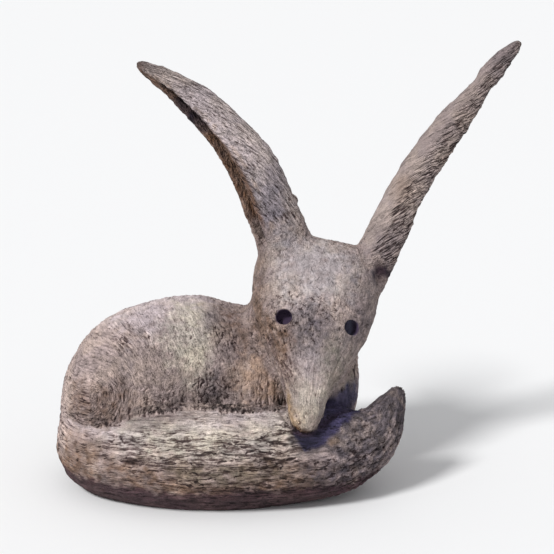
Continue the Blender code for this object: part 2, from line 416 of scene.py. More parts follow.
def regions(points):
    """The masks, and the coordinates that each region's marks follow."""
    tail = tail_limb.read(points)
    head = read_head(points)
    left = left_limb.read(points)
    right = right_limb.read(points)
    z = points[:, 2]
    is_left = points[:, 0] < 30 * MM
    right_root = step(RIGHT_ROOT_STARTS, RIGHT_ROOT_FULL, z) * step(72, 82, points[:, 0] / MM)
    in_ear = np.maximum(step(EAR_STARTS, EAR_FULL, z), right_root)
    head_far = np.hypot(head[1], head[2]) + np.maximum(0, -head[0] / (30 * MM))
    in_head = np.maximum(step(1.34, 1.14, head_far), step(195 * MM, 225 * MM, z))
    in_head *= (1 - in_ear) * step(198 * MM, 188 * MM, head[0])
    beside_nose = np.maximum(step(-0.14, -0.3, head[2]), step(1.02, 1.15, np.abs(head[1])))
    in_head *= 1 - beside_nose * step(112 * MM, 135 * MM, head[0])
    tail_far = np.hypot(tail[1], tail[2])
    above, in_front = near_crease(points)
    in_tail = step(1.22, 1.06, tail_far) * step(120 * MM, 105 * MM, z)
    in_tail = (in_tail * (1 - in_front) + step(1, -1, above) * in_front) * (1 - in_head)
    return {
        "tail": tail,
        "head": head,
        "ear": [np.where(is_left, a, b) for a, b in zip(left[:3], right[:3])],
        "ear_offset": np.where(is_left[:, None], left[3], right[3]),
        "is_left": is_left,
        "in_ear": in_ear,
        "in_head": in_head,
        "in_tail": in_tail,
        "above_crease": above,
        "by_crease": in_front,
        "in_shade_painted_nook": near_nook(points) * (1 - in_head),
        "in_body": (1 - in_ear) * (1 - in_head) * (1 - in_tail),
    }


where = regions(points)
for name in ("in_tail", "in_head", "in_ear", "in_body"):
    print(name, f"{where[name].mean():.0%} of the points")

# %% [markdown]
# ## Smooth forms
# Under its marks the clay is round, so what is left of the facets has to go. The ears are thin and
# would shrink, so they are smoothed less. The eyes' rims, the base and the place where the nose
# rests on the tail hardly move at all.

# %% Smooth the facets away
SMOOTHING_TURNS = 26
SMOOTHING_FACTOR = 0.5
EAR_SMOOTHING = 0.25
NOSE_SMOOTHING = 0.25
NOSE_RESTS = (18, -95, 78)  # where the nose lies on the tail, in millimetres


def smooth(thing, weights, turns):
    """Blender's own smoothing, as strong at each point as its weight says."""
    group = thing.vertex_groups.new(name="smooth")
    for level in np.unique(np.round(weights, 1)):
        here = np.flatnonzero(np.round(weights, 1) == level)
        group.add(here.tolist(), float(level), "REPLACE")
    modifier = thing.modifiers.new("smooth", "SMOOTH")
    modifier.factor = SMOOTHING_FACTOR
    modifier.iterations = turns
    modifier.vertex_group = group.name
    apply_modifiers(thing)
    thing.vertex_groups.clear()


from_nose = np.linalg.norm(points / MM - NOSE_RESTS, axis=1)
give = 1 - (1 - EAR_SMOOTHING) * where["in_ear"]
give *= step(9 * MM, 13 * MM, near_eyes(points)[0])
give *= step(0.5 * MM, 4 * MM, points[:, 2])
give *= NOSE_SMOOTHING + (1 - NOSE_SMOOTHING) * step(14, 30, from_nose)
smooth(fox, give, SMOOTHING_TURNS)
before = points
points = read_points(fox)
print("smoothing moved the points up to", round(np.abs(points - before).max() / MM, 2), "mm")

# %% [markdown]
# ## Small corrections
# A sculptor pushes the clay a little here and there before combing it, and Blender's grab brush
# does the same by hand. A script does it in numbers, so that every run gives the same form: each
# push has a place, a reach and a direction, and fades out smoothly.

# %% Push the form
# Each push: x, y and z of its place, its reach, and how far it moves x, y and z, in millimetres
PUSHES = [
    (-58, 15, 184, 68, 0, 0, -4.2),
    (-42, 50, 168, 46, 0, 0, -15.0),
    (-78, 38, 176, 34, 0, 0, -2.0),
    (-24, 5, 206, 26, 3.2, 0, 0),
    (12, 30, 245, 11, -3.2, 0, 0),
    (9, 31, 272, 7, 3.0, 0, 0),
    (193, 38, 375, 9, -4.0, 0, 1.5),
    (46, -68, 103, 22, -4.5, 0, 0),
    (5, -88, 88, 11, -2.5, 0, -0.5),
    (35, -84, 93, 14, -3.5, 0, 0),
    (32, -91, 82, 11, -2.8, 0, 0),
]


def pushed(points):
    """The points after every push."""
    points = points.copy()
    for x, y, z, reach, *by in PUSHES:
        far = np.linalg.norm(points / MM - (x, y, z), axis=1) / reach
        points += step(1, 0, far)[:, None] * np.array(by) * MM
    return points


before = points
points = pushed(points)
write_points(fox, points)
print("the pushes moved the points up to", round(np.abs(points - before).max() / MM, 1), "mm")

# %% [markdown]
# ## Cut lines
# A thin tool then cuts the lines that part one form from another: the crease above the tail, the
# fold round the jaw, the roots of the ears and the whisker lines beside the nose. A boolean cut
# would leave hard edges in soft clay. So each line is a smooth path, and the skin sinks near it by
# a bell curve.

# %% Gouge the lines
# Each gouge: its width, its depth and the places that it runs through, in millimetres
GOUGES = [
    # The crease above the tail
    (3.4, 1.6, [(-205, -50, 80), (-182, -66, 80), (-168, -69, 80), (-156, -73, 84)]
     + [(-145, -72, 89), (-134, -70, 92)]),
    (3.0, 2.0, [(-134, -70, 92), (-117, -69, 95), (-91, -61, 96), (-69, -61, 96)]
     + [(-52, -68, 96), (-7, -56, 92)]),
    # The notch at the left ear's tip
    (1.6, 3.0, [(-146, 25, 405.5), (-147, 36, 405.5), (-146, 48, 405.5)]),
    # Round the nose where it rests, and on along the jaw
    (2.2, 3.2, [(-4, -72, 93), (0, -82, 89), (4, -90, 84), (9, -93.5, 80), (18, -95, 77)]
     + [(28, -91, 78), (34, -86, 81)]),
    (3.0, 3.4, [(34, -86, 81), (38, -76, 84), (46, -64, 84), (58, -50, 83), (68, -38, 83)]),
    # The roots of the ears, and the fold beside the cheek
    (2.4, 1.6, [(-25, 8, 232), (-27, 6, 215), (-26, 2, 200), (-20, -10, 188)]),
    (5.0, 3.0, [(90, 8, 212), (93, 10, 205), (92, 10, 198)]),
    (3.5, 1.8, [(-14, -20, 165), (-13, -40, 150), (-8, -55, 130), (-2, -68, 108)]),
    # The whisker lines
    (1.0, 2.3, [(-4, -57, 137), (4, -68, 129), (13, -79, 119)]),
    (1.0, 2.4, [(-6, -56, 129), (2, -70, 122), (10, -82, 112)]),
    (1.0, 1.8, [(0, -58, 143), (8, -67, 135), (17, -76, 124)]),
    (1.0, 2.0, [(-7, -50, 119), (-1, -67, 115), (4, -80, 107)]),
    (1.0, 1.8, [(-5, -57, 133), (3, -69, 125), (9, -78, 118)]),
]
PATH_STEPS = 40


def near_path(points, path, reach):
    """How far each point is from a path through the given places, in millimetres, where it is near."""
    path = smooth_rows(path, PATH_STEPS)
    close = np.full(len(points), np.inf)
    low_end, high_end = path.min(0) - reach, path.max(0) + reach
    inside = (points / MM > low_end) & (points / MM < high_end)
    inside = np.flatnonzero(np.all(inside, axis=1))
    gaps = points[inside, None] / MM - path
    close[inside] = np.linalg.norm(gaps, axis=2).min(1)
    return close


gouged = np.zeros(len(points))
for width, deep, path in GOUGES:
    far = near_path(points, path, 4 * width) / width
    gouged = np.maximum(gouged, deep * np.exp(-(far**2)))
points = points - read_normals(fox) * gouged[:, None] * MM
write_points(fox, points)
print("gouges reach", round(gouged.max(), 1), "mm deep")

# %% [markdown]
# ## The marks' directions
# One pattern can't run smoothly through every region, so two sets of coordinates are kept: one for
# the tail and the head, and one for the body and the ears, which don't touch each other. A mask
# says which of the two holds. On the body the marks run in arcs round the thigh, as the photograph
# shows, and on the ears they wind slowly round, which reads as slanting strokes.

# %% The grain of the body and of a limb
THIGH = np.array((-184, 100)) * MM  # x and z of the middle of the thigh's swirl
ARC_REACH = 80 * MM
# The rump's roundness seen from above: its two radii, and the y of its middle
RUMP_RADIUS_X, RUMP_RADIUS_Y, RUMP_MIDDLE_Y = np.array((38, 72, 10)) * MM
ROUND_REACH = 60 * MM
SLOPE_INWARD = 0.3
# How long a mark is for its width
TAIL_STRETCH, BODY_STRETCH, EAR_STRETCH = 7.0, 6.0, 9.0
SKULL_STRETCH, MUZZLE_STRETCH = 2.2, 6.5
BARK_STRETCH = 2.6  # for the crumbly right end of the tail
LONG_STRETCH = 16.0  # for the long fine lines on the thigh


def body_grain(points):
    """Across the arcs, a little of the depth, and along the arcs and round the rump."""
    x, y, z = points.T
    right = np.maximum(x - THIGH[0], 0)
    left = np.maximum(THIGH[0] - x, 0)
    rise = z - THIGH[1]
    turn = np.abs(np.arctan2(rise, right))
    turn_round = np.arctan2(left / RUMP_RADIUS_X, np.abs(y - RUMP_MIDDLE_Y) / RUMP_RADIUS_Y)
    along = turn * ARC_REACH + turn_round * ROUND_REACH + SLOPE_INWARD * y
    return np.column_stack([np.hypot(right, rise), y / BODY_STRETCH, along])


def twisted(along, side, up, reach, twist):
    """A limb's coordinates in metres, wound round the limb."""
    turn = along * twist
    a = (side * np.cos(turn) - up * np.sin(turn)) * reach
    b = (side * np.sin(turn) + up * np.cos(turn)) * reach
    return np.column_stack([a, b, along])


print("an arc of the thigh is", round(math.pi / 2 * ARC_REACH / MM), "mm long in a quarter turn")

# %% Lay out the grain of every region
TAIL_REACH, HEAD_REACH, EAR_REACH = 42 * MM, 45 * MM, 18 * MM
LEFT_TWIST, RIGHT_TWIST = -18.0, 36.0  # radians in a metre
WOBBLE, WOBBLE_SIZE = 0.9 * MM, 6.5 * MM  # how far a hand-drawn stroke wanders, and how often
MUZZLE_STARTS = 92 * MM


def lay_grain(points, where):
    """The grain of the tail and head, the grain of the body and ears, how much the second one holds,
    and how far each of the two is stretched."""
    tail = twisted(*where["tail"][:3], TAIL_REACH, 0)
    head = twisted(*where["head"], HEAD_REACH, 0)
    use_head = where["in_head"] > where["in_tail"]
    twist = np.where(where["is_left"], LEFT_TWIST, RIGHT_TWIST)
    ear = twisted(*where["ear"], EAR_REACH, twist)
    use_ear = points[:, 2] > np.where(where["is_left"], EAR_STARTS, RIGHT_ROOT_STARTS)
    first = np.where(use_head[:, None], head, tail)
    second = np.where(use_ear[:, None], ear, body_grain(points))
    forward = np.maximum(where["head"][0], 1 * MM)
    muzzle_part = np.maximum(forward - MUZZLE_STARTS, 0)
    skull_part = forward - muzzle_part
    head_stretch = forward / (skull_part / SKULL_STRETCH + muzzle_part / MUZZLE_STRETCH)
    first_stretch = np.where(use_head, head_stretch, TAIL_STRETCH)
    second_stretch = np.where(use_ear, EAR_STRETCH, BODY_STRETCH)
    share = np.maximum(where["in_ear"], where["in_body"])
    return first, second, share, first_stretch, second_stretch


def squeezed(grain, stretch):
    """The grain with its length divided by its stretch, so that even noise in it shows as strokes."""
    return np.column_stack([grain[:, :2], grain[:, 2] / stretch])


where = regions(points)
grain_a, grain_b, share_b, stretch_a, stretch_b = lay_grain(points, where)
for column in (0, 1):
    wobble = WOBBLE * pattern(points, WOBBLE_SIZE, 95 + column)
    grain_a[:, column] += wobble
    grain_b[:, column] += wobble
normals = read_normals(fox)
print("the second grain holds on", f"{share_b.mean():.0%}", "of the skin")

# %% Short names for what the next cells ask for most
x_mm, y_mm, z_mm = points.T / MM
in_tail, in_body, in_head, in_ear = (where["in_" + k] for k in ("tail", "body", "head", "ear"))
in_shade_painted_nook, is_left = where["in_shade_painted_nook"], where["is_left"]
above_crease, by_crease = where["above_crease"], where["by_crease"]
forward_mm, ear_side = where["head"][0] / MM, where["ear"][1]
from_eye, above_eye = near_eyes(points)
front = step(0.2, -0.3, normals[:, 1])
far_right = in_tail * step(25, 55, x_mm)
print("seen from the front:", f"{(front > 0.5).mean():.0%}", "of the skin")

# %% [markdown]
# ## Uneven clay
# No hand-made surface is even. Soft noise, stretched along the grain, raises and lowers the skin by
# about half a millimetre. It is computed here in numpy, so that the form itself changes and the
# outline with it. The tail is roped and its right end barky, so both get more of it.

# %% Raise and lower the clay
SWELL = 0.55  # millimetres, at a pattern's full strength


def along_grain(size, seed):
    """The pattern in both grains, joined by their mask."""
    first = pattern(squeezed(grain_a, stretch_a), size, seed)
    second = pattern(squeezed(grain_b, stretch_b), size, seed + 1)
    return first * (1 - share_b) + second * share_b


bark = pattern(squeezed(grain_a, BARK_STRETCH), 3.4 * MM, 70) * far_right
ropes = pattern(squeezed(grain_a, TAIL_STRETCH), 5 * MM, 71) * in_tail * (1 - far_right)
swell = 0.9 * pattern(points, 34 * MM, 7) + 0.7 * pattern(points, 14 * MM, 1)
swell = swell + 2.2 * bark + 1.4 * ropes
swell += in_ear * (1.1 * pattern(points, 9 * MM, 9) + 0.8 * pattern(points, 4.5 * MM, 12))
long_waves, short_waves = 0.9 * along_grain(4.5 * MM, 2), 0.5 * along_grain(2.6 * MM, 4)
swell += 0.55 * pattern(points, 6.5 * MM, 8) + long_waves + short_waves
swell *= SWELL * MM
swell *= step(8 * MM, 12 * MM, from_eye)
print("the clay rises and falls by", round(swell.std() / MM, 2), "mm")

# %% [markdown]
# ## Finding what lies near a stroke
# Thousands of strokes on hundreds of thousands of points would be slow if each stroke looked at
# every point. A grid of cells answers the question which points lie near a place: only the cell of
# the place and the 26 round it are read.

# %% A grid of neighbours
CELL = 14 * MM
FINE_CELL = 4 * MM
ROW = 1000  # more cells than lie side by side


class Neighbours:
    """Finds the points near a place through a grid of cells."""

    def __init__(self, points, cell):
        self.points, self.cell = points, cell
        self.start = points.min(0) - cell
        keys = self.key(np.floor((points - self.start) / cell).astype(int))
        self.order = np.argsort(keys, kind="stable")
        self.keys = keys[self.order]

    def key(self, cells):
        return (cells[..., 0] * ROW + cells[..., 1]) * ROW + cells[..., 2]

    def near(self, place):
        middle = np.floor((place - self.start) / self.cell).astype(int)
        found = []
        for dx in (-1, 0, 1):
            for dy in (-1, 0, 1):
                row = self.key(middle + np.array((dx, dy, -1)))
                a, b = np.searchsorted(self.keys, (row, row + 3))
                found.append(self.order[a:b])
        return np.concatenate(found)


neighbours = Neighbours(points, CELL)
fine_neighbours = Neighbours(points, FINE_CELL)
print("round the first point lie", len(fine_neighbours.near(points[0])), "others")

# %% [markdown]
# ## Tool marks
# The strokes are pressed in one by one, thousands of them: each has its own place, length, width,
# depth and tilt, and pushes up a burr on both sides. Noise would be quicker, but its marks are all
# of a kind and have no ends. Several teeth side by side make a comb. Three maps are kept of the
# strokes: how deep the skin is cut, how high the burrs stand, and where dark pigment will settle in
# a groove.

# %% Press strokes into the skin
BEND = 4.0  # how much a stroke bends, for each metre of its length
FACING = 0.25  # a stroke only marks skin that faces much the same way
groove = np.zeros(len(points))
ridge = np.zeros(len(points))
depth = np.zeros(len(points))


def scatter(weight, count, seed):
    """Random points of the skin, more of them where the weight is higher."""
    random = np.random.default_rng(seed)
    weight = np.clip(weight, 0, None)
    return random.choice(len(points), count, replace=False, p=weight / weight.sum())


def press(weight, count, seed, length, width, deep, teeth=1, gap=2.2, tilt=0.12, dye=1.0, burr=0.3):
    """Presses a comb at random points, along the grain there. Its sizes are in millimetres."""
    random = np.random.default_rng(seed + 1)
    length, width, deep, gap = length * MM, width * MM, deep * MM, gap * MM
    for centre in scatter(weight, count, seed):
        near = neighbours.near(points[centre])
        same_grain = np.abs(share_b[near] - share_b[centre]) < 0.6
        near = near[same_grain & (normals[near] @ normals[centre] > FACING)]
        grain = grain_b if share_b[centre] > 0.5 else grain_a
        offset = grain[near] - grain[centre]
        close = np.linalg.norm(points[near] - points[centre], axis=1) < 4 * MM
        across_way = np.linalg.eigh(np.cov(offset[close, :2].T))[1][:, 1]
        lean = random.normal(0, tilt)
        bend = random.normal(0, BEND)
        run = offset[:, 2]
        across = offset[:, :2] @ across_way - lean * run - bend * run**2
        for tooth in range(teeth):
            reach = length * random.uniform(0.55, 1.25) / 2
            late = random.normal(0, length * 0.12)
            w = width * random.uniform(0.75, 1.3)
            y = across - (tooth - (teeth - 1) / 2) * gap * random.uniform(0.9, 1.1)
            ends = np.clip(1 - ((run - late) / reach) ** 2, 0, 1)
            cut = np.exp(-((y / w) ** 2)) * np.sqrt(ends)
            lip = np.exp(-(((np.abs(y) - 2 * w) / (0.8 * w)) ** 2)) * ends
            strength = deep * random.uniform(0.5, 1.3)
            depth[near] = np.minimum(depth[near], -strength * cut)
            groove[near] = np.maximum(groove[near], cut * dye * random.uniform(0.3, 1.15))
            ridge[near] = np.maximum(ridge[near], lip * burr * strength)


print(len(points), "points wait for the comb")

# %% [markdown]
# ## Where each kind of stroke lies
# The photograph shows bold streaks in two bands along the tail, a dark ragged fringe just above it,
# arcs round the thigh, crumbly skin on the flank, a few whisker lines beside the nose and a coarse
# comb on the outer half of the right ear. Each of these places is a mask.

# %% Masks for the strokes
# The dark fringe above the tail: x and its height in millimetres, and how thick it is, from 0 to 1
FRINGE = [(-215, 19, 0.1), (-200, 19, 0.5), (-165, 19, 0.7), (-150, 19, 0.4), (-138, 19, 0.7)]
FRINGE += [(-132, 19, 1), (-100, 19, 0.9), (-90, 19, 0.5), (-78, 19, 0.8), (-64, 21, 1)]
FRINGE += [(-48, 20, 1), (-38, 12, 0.7), (-12, 11, 0.5), (-6, 12, 1), (-2, 12, 1)]


def far_from(middle, reach):
    """How far each point is from a place, as a share of a reach in x, y and z, in millimetres."""
    return np.linalg.norm((points / MM - middle) / reach, axis=1)


def patch(middle, reach):
    """A soft round patch: 1 in its middle and 0 at its reach."""
    return step(1, 0.4, far_from(middle, reach))


above_base = step(1.5 * MM, 6 * MM, points[:, 2])
streak_band = step(44, 56, z_mm) * step(86, 74, z_mm) * step(-195, -150, x_mm)
streak_band *= step(40, -5, x_mm) * front
low_streaks = step(18, 28, z_mm) * step(62, 50, z_mm) * step(-130, -80, x_mm) * front
right_ear = in_ear * (1 - is_left)
comb_side = step(-0.45, -0.1, ear_side) * right_ear
fringe_places, fringe_heights, fringe_amounts = np.array(FRINGE).T
fringe_height = np.interp(x_mm, fringe_places, fringe_heights)
fringe = step(0, 1.5, above_crease) * step(1, 0.3, above_crease / fringe_height)
fringe = fringe * by_crease * in_body * np.interp(x_mm, fringe_places, fringe_amounts)
flank = in_body * step(-158, -122, x_mm) * step(60, 30, y_mm)
swirl = in_body * step(-132, -150, x_mm) * step(40, 0, y_mm) * step(165, 145, z_mm)
muzzle = in_head * step(88, 112, forward_mm)
whiskers = patch((-2, -64, 130), (11, 20, 26)) * in_head
print("the fringe covers", (fringe > 0.5).sum(), "points")

# %% Comb every region
# Each kind of stroke: where it lies, how many, its seed, its length, width and depth in
# millimetres, and what else is special about it
STROKES = [
    # The tail: long pairs, short ones, bold streaks in two bands, and crumbly ones at its right end
    (in_tail * above_base * (1 - far_right), 560, 10, 22, 1.2, 1.2, dict(teeth=2, gap=3.0, dye=0.5)),
    (in_tail * above_base, 600, 110, 10, 1.1, 1.0, dict(tilt=0.35, dye=0.65)),
    (in_tail * streak_band, 110, 12, 14, 1.4, 2.4, dict(tilt=0.15, burr=0.6)),
    (in_tail * low_streaks, 100, 112, 10, 1.1, 1.7, dict(tilt=0.2)),
    (far_right, 260, 210, 6, 1.4, 1.5, dict(tilt=0.9, dye=0.6, burr=0.6)),
    # The body: pairs, the thigh's arcs, short ones, crumbly ones, long ones on top, and the fringe
    (in_body * (1 - 0.6 * flank), 900, 14, 14, 1.0, 0.8, dict(teeth=2, gap=2.8, tilt=0.18, dye=0.35)),
    (swirl, 170, 414, 20, 0.8, 0.9, dict(teeth=2, gap=2.8, tilt=0.07, dye=0.4, burr=0.8)),
    (in_body, 500, 114, 6, 1.0, 0.9, dict(tilt=0.5, dye=0.6)),
    (flank, 700, 314, 4, 1.1, 1.1, dict(tilt=1.2, dye=0.7, burr=0.6)),
    (in_body * step(135, 160, z_mm), 50, 214, 26, 0.9, 1.0, dict(tilt=0.1, dye=0.8)),
    (fringe, 220, 116, 5, 1.2, 1.8, dict(tilt=1.2, dye=1.1, burr=0.6)),
    # The head: short ones all over, the whisker lines, and scratches on the muzzle
    (in_head, 1000, 16, 6, 1.0, 0.9, dict(tilt=0.9, dye=0.45)),
    (whiskers, 26, 316, 24, 1.0, 1.5, dict(tilt=0.1, dye=0.9, burr=0.9)),
    (muzzle * step(14, 24, x_mm), 70, 416, 8, 0.9, 0.9, dict(tilt=0.5, dye=0.6, burr=0.6)),
    # The ears: pairs on the left one, and the coarse comb on the right one
    (in_ear * is_left, 500, 18, 13, 1.0, 1.0, dict(teeth=2, gap=2.8, dye=0.5, burr=0.5)),
    (comb_side, 220, 20, 10, 0.9, 1.2, dict(teeth=3, gap=2.6, tilt=0.08, dye=0.6, burr=0.6)),
]
for *numbers, special in STROKES:
    press(*numbers, **special)
share_cut = (groove > 0.4).mean()
print("strokes reach", round(-depth.min() / MM, 2), "mm deep, and", f"{share_cut:.0%}", "is in one")

# %% [markdown]
# ## Pits and crumbs
# Air bubbles leave small holes in cast stone, and crumbs of clay stay on the model. Both are most
# plentiful between the eyes and round the roots of the ears. The rolled lip of the left ear and the
# nose are lumpy too, and two small pits on the muzzle can be told apart. Each spot is set by itself,
# at random where its mask allows, because noise alone would spread them too evenly.

# %% Add pits and crumbs
NOSTRILS = [(19, -92, 96), (30, -85, 113)]  # the two small pits on the muzzle, in millimetres


def dot(centres, seed, size, height, dye=0.0):
    """Raises or sinks a small round spot at each centre. Its sizes are in millimetres."""
    random = np.random.default_rng(seed)
    for centre in centres:
        near = fine_neighbours.near(points[centre])
        r = np.linalg.norm(points[near] - points[centre], axis=1)
        r /= size * MM * random.uniform(0.7, 1.3)
        spot = np.exp(-(r**2)) * random.uniform(0.5, 1.2)
        if height < 0:
            depth[near] = np.minimum(depth[near], height * MM * spot)
            groove[near] = np.maximum(groove[near], spot * dye)
        else:
            ridge[near] = np.maximum(ridge[near], height * MM * spot)


brow = np.exp(-(((x_mm - 26) / 34) ** 2) - ((z_mm - 168) / 34) ** 2) * in_head * front
ear_roots = (in_ear * step(310, 260, z_mm) + in_head * step(205, 235, z_mm)) * (1 - right_ear)
lip_line = step(-0.38, -0.28, ear_side) * step(-0.12, -0.2, ear_side) * is_left * in_ear * front
rim = step(-0.2, -0.35, ear_side) * is_left * in_ear
nose_tip = patch((10, -92, 88), (16, 20, 16)) * in_head
# Each kind of spot: where it lies, how many, its seed, its size and height, and its pigment
SPOTS = [
    (0.3 + 2 * brow + 0.8 * ear_roots - 0.25 * in_ear, 1300, 30, 1.0, -0.7, 0.55),
    (above_base, 420, 44, 1.6, 0.7, 0),
    (0.3 + 4 * brow + ear_roots, 2000, 32, 1.2, 0.55, 0),
    (lip_line + 0.6 * rim, 150, 40, 1.8, 1.1, 0),
    (lip_line + 0.6 * rim, 110, 42, 1.5, -1.3, 0.7),
    (nose_tip, 40, 34, 1.3, -0.9, 1.3),
    (nose_tip, 50, 36, 1.4, 0.8, 0),
]
for weight, count, seed, size, height, dye in SPOTS:
    dot(scatter(weight, count, seed), seed + 1, size, height, dye)
nostrils = [int(np.linalg.norm(points / MM - pit, axis=1).argmin()) for pit in NOSTRILS]
dot(nostrils, 38, 2.0, -1.6, dye=1.6)
print("crumbs stand up to", round(ridge.max() / MM, 2), "mm high")

# %% [markdown]
# ## Carve
# Swell, strokes and crumbs add up to one height for each point. It fades out at the base, so that
# the fox stands flat, and round the eyes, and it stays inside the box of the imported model.

# %% Carve, and stay inside the casting's box
relief = (swell + depth + ridge) * above_base
relief *= 1 - 0.8 * step(10 * MM, 7 * MM, from_eye)
relief *= 1 - 0.3 * in_ear * is_left * step(-0.3, -0.5, ear_side)
carved = points + normals * relief[:, None]
carved = np.clip(carved, low, high)
write_points(fox, carved)
print("relief from", round(relief.min() / MM, 2), "to", round(relief.max() / MM, 2), "mm")
print("carved", len(carved), "points")

# %% [markdown]
# ## Pigment
# The stone was washed with thin pigments that stay in some places and not in others. They could be
# painted by hand on an image, but clouds need no image and stay where they are when the form
# changes. Each wash is such a soft cloud: a place, a reach, a pigment and a strength, laid one over
# the other. Their edges are broken up by the same random pattern, so no cloud shows as an oval.

# %% Mix the pigments
def srgb(red, green, blue):
    """A colour as it looks on a screen, 0 to 255, as linear light."""
    share = np.array((red, green, blue)) / 255
    return np.where(share <= 0.04045, share / 12.92, ((share + 0.055) / 1.055) ** 2.4)


PIGMENTS_AND_PAINTED_SHADES = {
    "stone": srgb(156, 141, 136),
    "mauve": srgb(188, 176, 176),
    "ash": srgb(172, 164, 163),
    "cream": srgb(188, 180, 167),
    "umber": srgb(110, 89, 76),
    "bark": srgb(98, 72, 54),
    "rust": srgb(160, 136, 119),
    "ochre": srgb(174, 142, 102),
    "slate": srgb(92, 85, 90),
    "steel": srgb(94, 91, 104),
    "sage": srgb(152, 147, 138),
    "olive": srgb(118, 114, 102),
    # Painted shade under the fox, and dark pigment with painted shade in the cut lines
    "painted_shade_and_groove_pigment": srgb(62, 43, 49),
    # Painted shade on the chest beside the nook
    "chest_shade_paint": srgb(80, 76, 98),
    # Painted shade under the nose and deep in the ears' hollows
    "deep": srgb(44, 36, 46),
    # Painted shade in the nook
    "nook_shade_paint": srgb(60, 56, 84),
}
# Painted shade inside the drilled eye holes, and painted light in the part of the right one that light
# falls into
EYE_HOLE_PAINTED_SHADE, EYE_HOLE_PAINTED_LIGHT = srgb(64, 52, 72), srgb(92, 92, 108)
print(len(PIGMENTS_AND_PAINTED_SHADES), "pigments are mixed")

